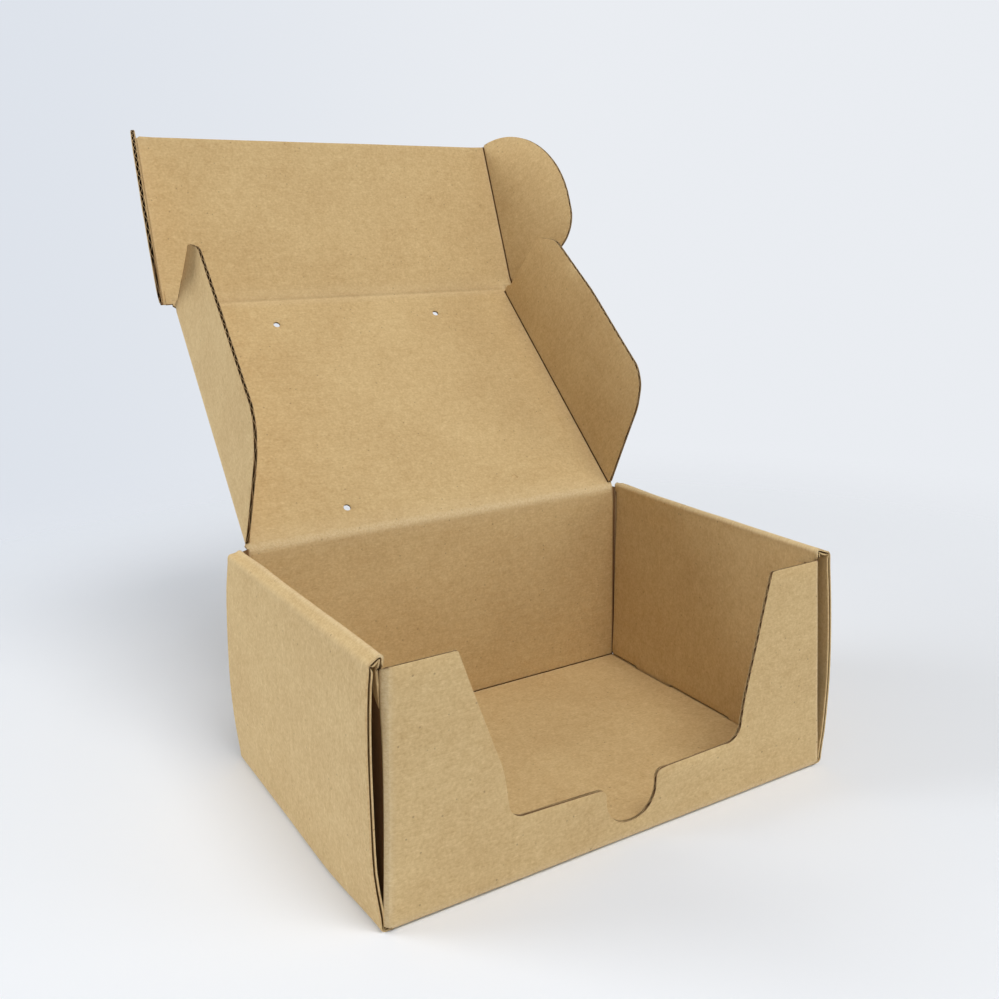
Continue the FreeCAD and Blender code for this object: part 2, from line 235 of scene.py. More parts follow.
def tray_place(u, s, t):
    """The floor and the walls that are folded up from it."""
    a, side = abs(u), (-1 if u < 0 else 1)
    give = bpy.context.scene.mailer_shape.swell
    if a > CUT + 0.05 and abs(s) < WALL_REACH:
        near = SIDE_WALL.near_fold(a, 1.8)
        edge = math.exp(-((a - RIDGE) / 1.3) ** 2)
        turned_up = curve(a, [(CUT, 0), (SIDE, 1)])
        t *= 1 - 0.75 * near if t > 0 else 1 + 0.3 * edge
        place, _ = stood(SIDE_WALL, u, s, t, on_floor=True)
        if a < RIDGE:
            up = a - SIDE
            fore = curve(s, [(-86.5, 1), (-30, 0)])
            aft = curve(s, [(0, 0), (86.5, 1)]) * (1.0 if side < 0 else 0.6)
            out = fore * curve(up, FRONT_SWELL[side]) + aft * curve(up, REAR_SWELL)
            out += (1 - fore - aft) * curve(up, MIDDLE_SWELL)
            out *= give * turned_up * curve(a, [(SHOULDER, 1), (RIDGE, 0)])
            out += curve(s, RIDGE_LEAN[side]) * curve(a, [(SHOULDER - 2, 0), (RIDGE, 1)])
        else:
            out = wall_lean(side, s, RIM + RIDGE - a)
        place.x += side * (out + 0.35 * drift(a, s, 45, side * 3.0) * turned_up)
        if a > SHOULDER - 8:
            roll = curve(a, [(SHOULDER - 8, 0), (SHOULDER, 1), (RIDGE, 1), (RIDGE + 20, 0)])
            place.z += 0.4 * drift(s, 0, 38, 5.0 + side) * roll
            place.z += curve(s, [(45, 0), (86, 1)]) * curve(
                a, [(SHOULDER - 8, 0), (SHOULDER, 0.6), (RIDGE, -0.8), (RIDGE + 20, 0)])
            if side < 0:
                place.z -= curve(s, [(-86, 0), (-20, 1.0), (86, 1.6)]) * roll
        # pale tone on the rolled ridge and at the folds, for the crushed paper and a painted highlight; no
        # painted shade here
        return place * MM, max(edge * 0.7, near * 0.15), 0.0
    near = max(SPINE.near_fold(s), CORNER_FLAP.near_fold(a, 2.0) if abs(s) > WALL_REACH else 0)
    place, shaded = stood(CORNER_FLAP, u, s, t * (1 - 0.3 * near))
    behind = max(0.0, a - CORNER)
    if abs(s) > WALL_REACH and behind:
        inward = 2.2 * curve(behind, [(5, 1), (50, 0.3)]) if s < 0 else 0.0
        place.x += side * curve(behind, [(0, 0), (5, 1)]) * (wall_lean(side, place.y, place.z) - inward)
        # painted shade deep in the gap behind a corner fold, on the outer face of the corner flap
        shaded = max(shaded, curve(behind, [(1.5, 0), (3.5, 1)]) if t < 0 else 0.0)
    if s < front(HALF):
        place.x += (side * min(1.0, a / CORNER) * math.exp(-(behind / 14) ** 2)
                    * curve(place.z, FRONT_WIDTH[side]))
        swell = max(0.0, 1 - (u / 126) ** 2) if a < CORNER else 0
        up = min(1.0, place.z / FRONT_TOP)
        place.y -= (0.7 * math.sin(math.pi * up) + 0.5 * drift(u, s, 60, 2.0)) * swell
    elif s > back(HALF):
        up = min(1.0, place.z / WALL_TOP)
        swell = max(0.0, 1 - (u / 122) ** 2) if a < CORNER else 0
        place.y -= (0.9 + 0.4 * drift(u, s, 60, 7.0)) * math.sin(math.pi * up) * swell
        # painted shade on the back wall's inner face where it meets a side wall
        shaded = max(shaded, math.exp(-((a - CUT) / 1.7) ** 2) if t > 0 else 0.0)
    elif t > 0.9:
        # painted shade: a dark, uneven line on the floor along the foot of each inner side panel
        shaded = max(shaded, (0.75 + 0.4 * drift(s, 0, 9, 3.0)) * math.exp(-((a - 121.3) / 0.9) ** 2))
    return place * MM, near, shaded


def at_tuck_crease(s, near, shaded):
    """The crease before the tuck panel gets a band of painted shade, and less of the pale crease tone and
    painted highlight than the others.
    """
    band = math.exp(-((s - TUCK_CREASE) / 2.2) ** 2)
    # painted shade across the crease band, and less pale tone there
    return near * (1 - 0.8 * band), max(shaded, 0.36 * band)


def lid_place(u, s, t, across=FLAP_RUN):
    """The lid panel and its two flaps."""
    a, side = abs(u), (-1 if u < 0 else 1)
    shape = bpy.context.scene.mailer_shape
    near = max(across.near_fold(a), SPINE.near_fold(s, 2.8))
    place, shaded = stood(across, u, s, t * (1 - 0.3 * near))
    v = (s - LID_CREASE) / LID_LENGTH
    place.x += (side * min(1.0, a / LID_FLAP) ** 3 * FLAP_SKEW[side] * (1 - v)
                * curve(s, [(LID_CREASE - SEAM, 0), (LID_CREASE + SEAM, 1)]))
    if 0 < v < 1:
        inside = max(0.0, 1 - (min(a, LID_FLAP) / LID_FLAP) ** 2) * math.sin(math.pi * v)
        dent = (0.9 + 0.5 * drift(u, s, 70, 11.0)) * inside
        place -= Vector((0, -LID_WAY[1], LID_WAY[0])) * dent
        depth = a - LID_FLAP
        if depth > 2:
            lean = (shape.right_lean if side > 0 else shape.left_lean) / MM
            curl = (depth / 74) ** 1.3
            place.x += side * curl * (lean * (0.85 + 0.3 * math.sin(math.pi * v))
                                      + 0.8 * drift(s, depth, 55, 4.0 + side))
    return (place * MM, *at_tuck_crease(s, near, shaded))


def tuck_place(u, s, t):
    """The tuck panel at the front of the lid and its two ears."""
    a, side = abs(u), (-1 if u < 0 else 1)
    near = max(EAR_RUN.near_fold(a), SPINE.near_fold(s, 2.8))
    place, shaded = stood(EAR_RUN, u, s, t * (1 - 0.3 * near))
    w = (s - TUCK_CREASE) / TUCK_LENGTH
    if 0 < w < 1.1:
        place.x += (side * min(1.0, a / EAR) ** 3 * EAR_SKEW[side]
                    * curve(s, [(TUCK_CREASE, 0), (TUCK_CREASE + SEAM, 1)]))
        inside = max(0.0, 1 - (min(a, EAR) / EAR) ** 2) * min(1.0, w * 4)
        arch = math.sin(math.pi * min(1, w))
        dent = (0.5 * arch + 0.6 * drift(u, s, 60, 21.0)) * inside
        place -= Vector((0, -TUCK_WAY[1], TUCK_WAY[0])) * dent
        depth = a - EAR
        if depth > 2:
            curl = (depth / 69) ** 1.5
            place.x += side * curl * 0.6 * (arch + drift(s, depth, 50, 14.0 + side))
    return (place * MM, *at_tuck_crease(s, near, shaded))


def crease_place(u, s, t):
    """The creases at the back and at the front of the lid, which have no flap at their ends."""
    return lid_place(u, s, t, FLAT) if s < TUCK_CREASE else tuck_place(u, s, t)


def on_side(side, corners):
    return [(side * u, s, radius) for u, s, radius in corners]


def both_sides(right, left=None):
    """A whole outline from its halves, each drawn from the front to the back.

    With no left half, the right one is mirrored.
    """
    return right + on_side(-1, reversed(left or right))


def cut_out(corners):
    """A flat sheet with a die-cut outline; each corner is u, s and the radius that rounds it."""
    sheet = bmesh.new()
    points = [sheet.verts.new((u, s, 0)) for u, s, _ in corners]
    sheet.faces.new(points)
    places = [Vector(corner[:2]) for corner in corners]
    for i, point in enumerate(points):
        radius = corners[i][2]
        if radius:
            before = places[i] - places[i - 1]
            after = places[(i + 1) % len(places)] - places[i]
            turn = before.angle(after)
            bmesh.ops.bevel(sheet, geom=[point], offset=radius * math.tan(turn / 2), offset_type="OFFSET",
                            segments=max(2, round(radius * turn / 1.1)), profile=0.5, affect="VERTICES",
                            material=-1)
    return sheet


def score(sheet, across=(), along=()):
    """Divides a flat sheet along straight lines, so that it can bend there."""
    for axis, places in ((0, across), (1, along)):
        for place in places:
            spot = [0, 0, 0]
            way = [0, 0, 0]
            spot[axis], way[axis] = place, 1
            bmesh.ops.bisect_plane(sheet, geom=sheet.verts[:] + sheet.edges[:] + sheet.faces[:], dist=1e-4,
                                   plane_co=spot, plane_no=way)


def lines(low, high, step=9.0, folds=()):
    """Evenly spread lines, with close ones round each fold, given as its place and reach."""
    places = [low + step * i for i in range(1, int((high - low) / step) + 1)]
    for middle, reach in folds:
        close = [middle + reach * k / 4 for k in range(-4, 5)]
        close += [middle + side * (reach + gap) for side in (-1, 1) for gap in (0.8, 1.8, 3.2, 5.2)]
        places = [p for p in places if abs(p - middle) > reach + 6.5] + close
    return sorted(p for p in places if low < p < high)


def crease_lines(middle, gap=0.4, count=7):
    """The close lines of a crease strip."""
    return [middle + k * gap for k in range(-count, count + 1)]


def mirrored(places):
    return [-p for p in places] + list(places)


def punch(sheet, holes):
    """Round pinholes, some with the plug still in; the sheet has lines on all four sides of each."""
    pressed = sheet.verts.layers.float["crush"]
    for u, s, radius, plugged in holes:
        inside = [face for face in sheet.faces
                  if abs(face.calc_center_median().x - u) < PINHOLE_BOX
                  and abs(face.calc_center_median().y - s) < PINHOLE_BOX]
        patch = bmesh.ops.dissolve_faces(sheet, faces=inside)["region"] if len(inside) > 1 else inside
        bmesh.ops.subdivide_edges(sheet, edges=patch[0].edges[:], cuts=4)
        patch = [face for face in sheet.faces
                 if abs(face.calc_center_bounds().x - u) < 0.2 and abs(face.calc_center_bounds().y - s) < 0.2]
        bmesh.ops.inset_individual(sheet, faces=patch, thickness=0.4)
        for vert in patch[0].verts:
            spoke = Vector((vert.co.x - u, vert.co.y - s)).normalized() * radius
            vert.co.x, vert.co.y = u + spoke.x, s + spoke.y
            vert[pressed] = 0.0 if plugged else 0.6
        if plugged:
            bmesh.ops.inset_individual(sheet, faces=patch, thickness=0.35)
            for vert in patch[0].verts:
                vert[pressed] = 0.3
        else:
            bmesh.ops.delete(sheet, geom=patch, context="FACES")


def crush(sheet):
    """Marks how far the cut edges are pressed together; those that run along the flutes close up most."""
    mark = sheet.verts.layers.float.new("crush")
    for vert in sheet.verts:
        cuts = [edge.verts[0].co - edge.verts[1].co for edge in vert.link_edges if edge.is_boundary]
        seam = any(abs(abs(vert.co.x) - place) < 0.01 for place in ACROSS_SEAMS)
        seam = seam or any(abs(vert.co.y - place) < 0.01 for place in ALONG_SEAMS)
        if cuts and not seam:
            level = all(abs(way.y) < 0.03 * abs(way.x) for way in cuts)
            ragged = 0.5 + 0.5 * drift(vert.co.x, vert.co.y, 7, 31.0)
            vert[mark] = 0.5 + 0.2 * ragged if level else 0.14 + 0.2 * ragged


def folded(sheet, low, high, place, skin, rim, wave=False):
    """Gives a flat sheet its thickness, keeps the blank's own places on it, and folds it up."""
    if wave:
        for vert in sheet.verts:
            vert.co.z = (HALF - FACING - FLUTE_SHEET / 2) * math.sin(2 * math.pi * vert.co.y / WAVE)
    grown = bmesh.ops.extrude_face_region(sheet, geom=sheet.faces[:])["geom"]
    bmesh.ops.translate(sheet, verts=sheet.verts[:], vec=(0, 0, low))
    raised = [item for item in grown if isinstance(item, bmesh.types.BMVert)]
    bmesh.ops.translate(sheet, verts=raised, vec=(0, 0, high - low))
    sheet.normal_update()
    for face in sheet.faces:
        face.material_index = rim if abs(face.normal.z) < 0.3 else skin
        face.smooth = True
    blank = sheet.verts.layers.float_vector.new("blank")
    fold = sheet.verts.layers.float.new("fold")
    painted_shade = sheet.verts.layers.float.new("painted_shade")
    pressed = sheet.verts.layers.float["crush"]
    for vert in sheet.verts:
        vert[blank] = vert.co * MM
        u, s, t = vert.co
        vert.co, vert[fold], vert[painted_shade] = place(u, s, t * (1 - vert[pressed]))
    bmesh.ops.recalc_face_normals(sheet, faces=sheet.faces[:])
    mesh = bpy.data.meshes.new("sheet")
    sheet.to_mesh(mesh)
    sheet.free()
    return mesh


def board(name, corners, across, along, place, fluted=None, holes=(), slits=()):
    """A piece of fluted board: two facings, and the fluting between them where cut edges show it."""
    flat = cut_out(corners)
    score(flat, along=along)
    score(flat, across=across)
    for low_u, high_u, low_s, high_s in slits:
        gone = [face for face in flat.faces if low_u < abs(face.calc_center_median().x) < high_u
                and low_s < face.calc_center_median().y < high_s]
        bmesh.ops.delete(flat, geom=gone, context="FACES")
    crush(flat)
    punch(flat, holes)
    meshes = [folded(flat.copy(), HALF - FACING, HALF, place, 0, 1),
              folded(flat, -HALF, FACING - HALF, place, 0, 1)]
    if fluted:
        sheet = cut_out(fluted)
        low = min(corner[1] for corner in fluted)
        high = max(corner[1] for corner in fluted)
        step = WAVE / 10
        score(sheet, along=[step * i for i in range(math.ceil(low / step), math.ceil(high / step))])
        score(sheet, across=across)
        crush(sheet)
        meshes.append(folded(sheet, -FLUTE_SHEET / 2, FLUTE_SHEET / 2, place, 2, 1, wave=True))
    made = []
    for mesh in meshes:
        part = bpy.data.objects.new(name, mesh)
        bpy.context.scene.collection.objects.link(part)
        made.append(part)
    for finish in (kraft(), cut_edge(), fluting()):
        for part in made:
            part.data.materials.append(finish)
    with bpy.context.temp_override(active_object=made[0], object=made[0],
                                   selected_editable_objects=made, selected_objects=made):
        bpy.ops.object.join()
    piece = made[0]
    piece.data.set_sharp_from_angle(angle=math.radians(38))
    return piece


def bend_between(piece, first, second, corner, before, after):
    """Lets a crease strip bend from one body to the next, whatever the thickness of the board."""
    before, after = Vector(before).normalized(), Vector(after).normalized()
    half_turn = before.angle(after) / 2
    way = (before + after).normalized()
    reach = (SEAM * math.cos(half_turn) - HALF * math.sin(half_turn)) * MM
    corner = Vector(corner) * MM
    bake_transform(piece, first, second, start=corner - way * reach, end=corner + way * reach)


class Wire:
    """A socket inside a finish; arithmetic on it adds Math nodes."""

    def __init__(self, finish, socket):
        self.finish, self.socket = finish, socket

    def sum(self, operation, first, second):
        return self.finish.node("ShaderNodeMath", {"operation": operation}, {0: first, 1: second})

    def __add__(self, other):
        return self.sum("ADD", self, other)

    def __sub__(self, other):
        return self.sum("SUBTRACT", self, other)

    def __rsub__(self, other):
        return self.sum("SUBTRACT", other, self)

    def __mul__(self, other):
        return self.sum("MULTIPLY", self, other)

    __radd__ = __add__
    __rmul__ = __mul__

    def between(self, low, high):
        """Nothing below low, one above high, and smooth from one to the other."""
        return self.finish.node("ShaderNodeMapRange", {"interpolation_type": "SMOOTHSTEP", "clamp": True},
                                {"Value": self, "From Min": low, "From Max": high})


class Finish:
    """The nodes of one material or of the world."""

    def __init__(self, tree):
        self.tree = tree
        tree.nodes.clear()

    def node(self, kind, settings, inputs, output=0):
        made = self.tree.nodes.new(kind)
        for key, value in settings.items():
            setattr(made, key, value)
        for key, value in inputs.items():
            if isinstance(value, Wire):
                self.tree.links.new(value.socket, made.inputs[key])
            else:
                made.inputs[key].default_value = value
        return Wire(self, made.outputs[output])

    def mix(self, factor, first, second):
        """Between two colours."""
        return self.node("ShaderNodeMix", {"data_type": "RGBA"}, {0: factor, 6: first, 7: second}, output=2)

    def grain(self, place, scale, detail=2.0, rough=0.5):
        return self.node("ShaderNodeTexNoise", {}, {"Vector": place, "Scale": scale, "Detail": detail,
                                                    "Roughness": rough})

    def turned(self, place, degrees, scale):
        return self.node("ShaderNodeMapping", {}, {"Vector": place, "Scale": scale,
                                                   "Rotation": (0, 0, math.radians(degrees))})


def new_finish(name):
    material = bpy.data.materials.new(name)
    material.use_nodes = True
    return material, Finish(material.node_tree)


def kraft():
    """Brown kraft facing: cloudy paper with short fibres and specks, wrinkled at the folds and paler there for
    the crushed paper and a painted highlight, with painted shade in pressed creases and gaps.
    """
    known = bpy.data.materials.get("kraft facing")
    if known:
        return known
    colours = bpy.context.scene.mailer_board
    material, finish = new_finish("kraft facing")
    place = finish.node("ShaderNodeAttribute", {"attribute_name": "blank"}, {}, output="Vector")
    fold = finish.node("ShaderNodeAttribute", {"attribute_name": "fold"}, {}, output="Fac")
    painted_shade = finish.node("ShaderNodeAttribute", {"attribute_name": "painted_shade"}, {}, output="Fac")
    split = finish.node("ShaderNodeSeparateXYZ", {}, {"Vector": place}, output=1)
    cloud = finish.grain(place, 22.0, 2.0)
    patch = finish.grain(place, 190.0, 3.0, 0.6)
    fine = finish.grain(place, 620.0, 3.0, 0.75)
    level = finish.grain(finish.turned(place, 4, (300, 1500, 900)), 1.0, 1.0)
    upright = finish.grain(finish.turned(place, 96, (260, 1300, 900)), 1.0, 1.0)
    slanted = finish.grain(finish.turned(place, 47, (300, 1500, 900)), 1.0, 1.0)
    fibres = level.between(0.60, 0.72) + upright.between(0.61, 0.73) + slanted.between(0.61, 0.73)
    dark_fibres = level.between(0.42, 0.30) + slanted.between(0.40, 0.28)
    cells = finish.tree.nodes.new("ShaderNodeTexVoronoi")
    finish.tree.links.new(place.socket, cells.inputs["Vector"])
    cells.inputs["Scale"].default_value = 300.0
    chosen = finish.node("ShaderNodeSeparateColor", {}, {"Color": Wire(finish, cells.outputs["Color"])})
    speck = Wire(finish, cells.outputs["Distance"]).between(0.20, 0.09) * chosen.between(0.87, 0.90)
    rib = finish.node("ShaderNodeMath", {"operation": "SINE"}, {0: split * (2 * math.pi / (WAVE * MM))})
    crush = finish.grain(place, 900.0, 2.0, 0.6)
    tone = (0.5 + (cloud - 0.5) * 0.55 + (patch - 0.5) * 0.6 + (fine - 0.5) * 1.35 + fibres * 0.13
            - dark_fibres * 0.12 + rib * 0.018)
    colour = finish.mix(tone, tuple(colours.kraft_dark) + (1,), tuple(colours.kraft_light) + (1,))
    # paler at the folds: the crushed paper's tone with a painted highlight
    colour = finish.mix(fold * (0.35 + crush.between(0.40, 0.62) * 0.4), colour, tuple(colours.crease) + (1,))
    colour = finish.mix(speck * 0.45, colour, tuple(colours.speck) + (1,))
    # painted shade in pressed creases and in the gaps between panels
    colour = finish.mix(painted_shade.between(0.15, 0.95) * 0.9, colour, tuple(colours.painted_shade) + (1,))
    height = fine * 0.35 + patch * 0.35 + fibres * 0.14 + rib * 0.14 + fold * crush * 1.3
    bump = finish.node("ShaderNodeBump", {}, {"Height": height, "Strength": 0.55, "Distance": 0.00022})
    shader = finish.node("ShaderNodeBsdfPrincipled", {}, {
        "Base Color": colour, "Roughness": 0.86 - fibres * 0.07, "Normal": bump, "Specular IOR Level": 0.28})
    close(finish, shader)
    return material


def close(finish, shader, kind="ShaderNodeOutputMaterial"):
    end = finish.tree.nodes.new(kind)
    finish.tree.links.new(shader.socket, end.inputs["Surface"])


def cut_edge():
    """The die-cut rim of a facing: torn fibres, a little rougher and darker than the face."""
    known = bpy.data.materials.get("cut edge")
    if known:
        return known
    material, finish = new_finish("cut edge")
    place = finish.node("ShaderNodeAttribute", {"attribute_name": "blank"}, {}, output="Vector")
    torn = finish.grain(place, 900.0, 3.0, 0.7)
    colour = finish.mix(torn.between(0.3, 0.7), (0.30, 0.185, 0.085, 1), (0.52, 0.365, 0.19, 1))
    bump = finish.node("ShaderNodeBump", {}, {"Height": torn, "Strength": 0.6, "Distance": 0.0002})
    close(finish, finish.node("ShaderNodeBsdfPrincipled", {}, {
        "Base Color": colour, "Roughness": 0.92, "Normal": bump, "Specular IOR Level": 0.2}))
    return material


def fluting():
    """The wavy sheet inside the board."""
    known = bpy.data.materials.get("fluting")
    if known:
        return known
    material, finish = new_finish("fluting")
    place = finish.node("ShaderNodeAttribute", {"attribute_name": "blank"}, {}, output="Vector")
    torn = finish.grain(place, 1100.0, 2.0, 0.6)
    colour = finish.mix(torn, (0.13, 0.075, 0.035, 1), (0.27, 0.17, 0.085, 1))
    close(finish, finish.node("ShaderNodeBsdfPrincipled", {}, {
        "Base Color": colour, "Roughness": 0.93, "Specular IOR Level": 0.15}))
    return material


class MailerBoard(bpy.types.PropertyGroup):
    """Colours of the board."""

    kraft_light: FloatVectorProperty(name="Kraft, light", description="Palest tone of the kraft facing",
                                     default=(0.73, 0.552, 0.288), subtype="COLOR", size=3, min=0, max=1)
    kraft_dark: FloatVectorProperty(name="Kraft, dark", description="Deepest tone of the kraft facing",
                                    default=(0.51, 0.335, 0.15), subtype="COLOR", size=3, min=0, max=1)
    # pale tone at the folds, for the crushed paper and a painted highlight
    crease: FloatVectorProperty(name="Crease", description="Tone of the crushed paper on a crease",
                                default=(0.78, 0.62, 0.38), subtype="COLOR", size=3, min=0, max=1)
    # colour of the painted shade in pressed creases and gaps
    painted_shade: FloatVectorProperty(name="Groove", description="Tone deep in a pressed crease",
                                default=(0.15, 0.066, 0.022), subtype="COLOR", size=3, min=0, max=1)
    speck: FloatVectorProperty(name="Speck", description="Tone of the dark specks in the paper",
                               default=(0.20, 0.12, 0.055), subtype="COLOR", size=3, min=0, max=1)


class MailerShape(bpy.types.PropertyGroup):
    """How the folded board gives."""

    swell: FloatProperty(name="Side swell",
                         description="How much of its natural swell each outer side wall shows",
                         default=1.0, min=0, max=1.5)
    right_lean: FloatProperty(name="Right flap lean",
                              description="How far the right lid flap's free edge leans out",
                              default=0.0024, unit="LENGTH", precision=4)
    left_lean: FloatProperty(name="Left flap lean",
                             description="How far the left lid flap's free edge leans out",
                             default=0.0014, unit="LENGTH", precision=4)


class MailerStage(bpy.types.PropertyGroup):
    """Floor, backdrop and light."""

    backdrop: FloatVectorProperty(name="Backdrop", description="Colour of the backdrop",
                                  default=(0.82, 0.845, 0.885), subtype="COLOR", size=3, min=0, max=1)
    ground: FloatVectorProperty(name="Floor", description="Colour of the floor near the box",
                                default=(0.87, 0.895, 0.945), subtype="COLOR", size=3, min=0, max=1)
    backdrop_left: FloatVectorProperty(name="Backdrop, left", description="Colour of the backdrop on the left",
                                       default=(0.725, 0.765, 0.83), subtype="COLOR", size=3, min=0, max=1)
    key: FloatProperty(name="Key light", description="Power of the large soft light, in watts", default=18.0,
                       min=0)
    fill: FloatProperty(name="Fill light", description="Strength of the light from all round", default=0.36,
                        min=0)


class MAILER_OT_tray(bpy.types.Operator):
    """Cut and fold the floor, the front and back walls and the two rolled side walls"""

    bl_idname = "mailer.tray"
    bl_label = "Tray"

    def execute(self, context):
        slots = [(120.4, 123.8, -60.3, -25.7), (120.4, 123.8, 25.7, 60.3)]
        right_opening = [(14, front(9.5), 13.99), (14.5, front(31), 4), (67.5, front(31.6), 9),
                         (71.8, front(53), 40), (91, front(FRONT_TOP), 1)]
        left_opening = [(14, front(9.5), 13.99), (15, front(30), 4), (66.3, front(32), 8), (70, front(56), 40),
                        (92.3, front(FRONT_TOP), 1)]
        tab, shelf = BASE + 3.1, RIDGE + 4.4    # end of a lock tab, and the step below the rim
        half = [
            (125.4, front(FRONT_TOP), 0.8), (129.9, front(112.6), 3), (196.2, front(104), 8),
            (196.2, front(9), 8), (131.5, front(2.3), 0), (CUT, front(2.3), 0), (CUT, -86.5, 0),
            (shelf, -86.5, 1), (shelf, -84.4, 1), (BASE, -84.4, 1.5),
            (BASE, -60, 0.4), (tab, -59, 0.8), (tab, -27, 0.8), (BASE, -26, 0.4),
            (BASE, 26, 0.4), (tab, 27, 0.8), (tab, 59, 0.8), (BASE, 60, 0.4),
            (BASE, 85.2, 1.5), (shelf, 85.2, 1), (shelf, 87, 1),
            (CUT, 87, 0), (CUT, back(2.3), 0), (131.5, back(2.3), 0), (196.2, back(9), 8),
            (196.2, back(104), 8), (129.9, back(112.6), 3), (125.2, back(117.3), 0.8),
            (121.6, back(118.4), 0.4), (120.4, back(WALL_TOP - SEAM), 0),
        ]
        folds = [(fold[0], fold[1]) for fold in SIDE_WALL.folds]
        across = lines(4, BASE + 4, folds=[(CORNER, 2.7)] + folds)
        across += [4.0, 118.9, 120.4, 121.3, 122.2, CUT, 123.8, BASE - 1.5]
        along = lines(front(FRONT_TOP), back(WALL_TOP), folds=[(-FLOOR, 1.5), (FLOOR, 1.5)])
        along += [-60.3, -25.7, 25.7, 60.3, -84.9, -82.8, 83.6, 85.4, front(30.2), front(FRONT_TOP - 1.6)]
        top = [(121, front(FRONT_TOP), 0), (121, front(5), 0)]
        window = both_sides(right_opening + top, left_opening + top)
        outline = both_sides(right_opening + half, left_opening + half)
        piece = board("folded_tray", outline, mirrored(across), along, tray_place, fluted=window,
                      slits=slots)
        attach(piece, "tray")
        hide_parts("tray")
        return {"FINISHED"}


class MAILER_OT_lid(bpy.types.Operator):
    """Cut the lid panel with its pinholes, and the crease strip that carries it"""

    bl_idname = "mailer.lid"
    bl_label = "Lid"

    def execute(self, context):
        holes = [(-60.3, LID_CREASE + 156.4, 2.1, False), (54.5, LID_CREASE + 158.0, 2.0, False),
                 (-59.3, LID_CREASE + 15.8, 2.1, False), (54.5, LID_CREASE + 18.0, 1.9, True)]
        low, high = LID_CREASE + SEAM, TUCK_CREASE - SEAM
        edge = LID_FLAP - SEAM
        half = [(edge, low, 0), (edge, high, 0)]
        across = [u + gap for u, _, _, _ in holes for gap in (-PINHOLE_BOX, PINHOLE_BOX)]
        across += [u for u in mirrored(lines(0, edge, 9.7)) + [0.0] if min(abs(u - h[0]) for h in holes) > 4]
        along = [s + gap for _, s, _, _ in holes for gap in (-PINHOLE_BOX, PINHOLE_BOX)]
        along += [s for s in lines(low, high, 9.3) if min(abs(s - h[1]) for h in holes) > 4]
        piece = board("lid_board", both_sides(half), across, along, lid_place, holes=holes)
        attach(piece, "lid")
        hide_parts("lid_panel")
        columns = mirrored(lines(0, edge, 9.7)) + [0.0]
        rows = crease_lines(LID_CREASE, 0.5, 5)
        strip = both_sides([(120.4, LID_CREASE - SEAM, 0), (120.8, LID_CREASE, 0), (120.4, low, 0)])
        piece = board("lid_crease_strip", strip, columns, rows, crease_place)
        bend_between(piece, "tray", "lid", (0, FLOOR, WALL_TOP), (0, 0, 1), (0, *LID_WAY))
        return {"FINISHED"}


class MAILER_OT_lid_flaps(bpy.types.Operator):
    """Cut the two flaps at the sides of the lid, with the crease strips that join them to it"""

    bl_idname = "mailer.lid_flaps"
    bl_label = "Lid Flaps"

    def execute(self, context):
        root = LID_CREASE
        for name, side in (("right", 1), ("left", -1)):
            outline = [(LID_FLAP + SEAM, root + SEAM, 0), (LID_FLAP + 14, root + 6.5, 4),
                       (LID_FLAP + 57, root + 21.0, 30), (LID_FLAP + 74.8, root + 33, 20),
                       (LID_FLAP + 73.8, root + 107, 60), (LID_FLAP + 70.5, root + 156, 13),
                       (LID_FLAP + 57.5, root + 172, 6), (LID_FLAP + 10, root + 172.4, 4),
                       (LID_FLAP + 6, root + FLAP_END, 1), (LID_FLAP + SEAM, root + FLAP_END, 0)]
            outline = on_side(side, outline)
            across = [side * u for u in lines(LID_FLAP, LID_FLAP + 76, 9.0)]
            along = [root + 6 + 8.3 * k for k in range(20)] + [root + 170.6]
            piece = board(name + "_flap_board", outline, across, along, lid_place, fluted=outline)
            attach(piece, "lid_flap_" + name)
            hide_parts("lid_flap_" + name)
            strip = [(LID_FLAP - SEAM, root + SEAM, 0), (LID_FLAP + SEAM, root + SEAM, 0),
                     (LID_FLAP + SEAM, root + FLAP_END, 0), (LID_FLAP - 1, root + FLAP_END, 0),
                     (LID_FLAP - SEAM, root + 174.3, 0)]
            strip = on_side(side, strip)
            across = [side * u for u in crease_lines(LID_FLAP)]
            piece = board(name + "_flap_crease_strip", strip, across, along, lid_place)
            skew = FLAP_SKEW[side] / LID_LENGTH
            bend_between(piece, "lid", "lid_flap_" + name,
                         (side * (LID_FLAP + FLAP_SKEW[side]), FLOOR, WALL_TOP),
                         (side, skew * LID_WAY[0], skew * LID_WAY[1]), (0, -LID_WAY[1], LID_WAY[0]))
        return {"FINISHED"}


class MAILER_OT_tuck(bpy.types.Operator):
    """Cut the tuck panel and the crease strip that joins it to the lid"""

    bl_idname = "mailer.tuck"
    bl_label = "Tuck Panel"

    def execute(self, context):
        edge = EAR - SEAM
        half = [(121, TUCK_CREASE + SEAM, 0), (121, TUCK_CREASE + 0.6, 0), (edge, TUCK_CREASE + 0.6, 0),
                (edge, TUCK_END, 0)]
        columns = mirrored(lines(0, edge, 9.7)) + [0.0]
        rows = lines(TUCK_CREASE + SEAM, TUCK_END, 8.7) + [TUCK_END - 1.8]
        piece = board("tuck_board", both_sides(half), columns, rows, tuck_place)
        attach(piece, "tuck")
        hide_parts("tuck_panel")
        strip = both_sides([(LID_FLAP - SEAM, TUCK_CREASE - SEAM, 0), (119.4, TUCK_CREASE - 1.9, 0),
                            (121, TUCK_CREASE - 0.6, 0), (121, TUCK_CREASE + SEAM, 0)])
        rows = crease_lines(TUCK_CREASE)
        piece = board("tuck_crease_strip", strip, columns, rows, crease_place)
        bend_between(piece, "lid", "tuck", (0, *LID_EDGE), (0, *LID_WAY), (0, *TUCK_WAY))
        return {"FINISHED"}


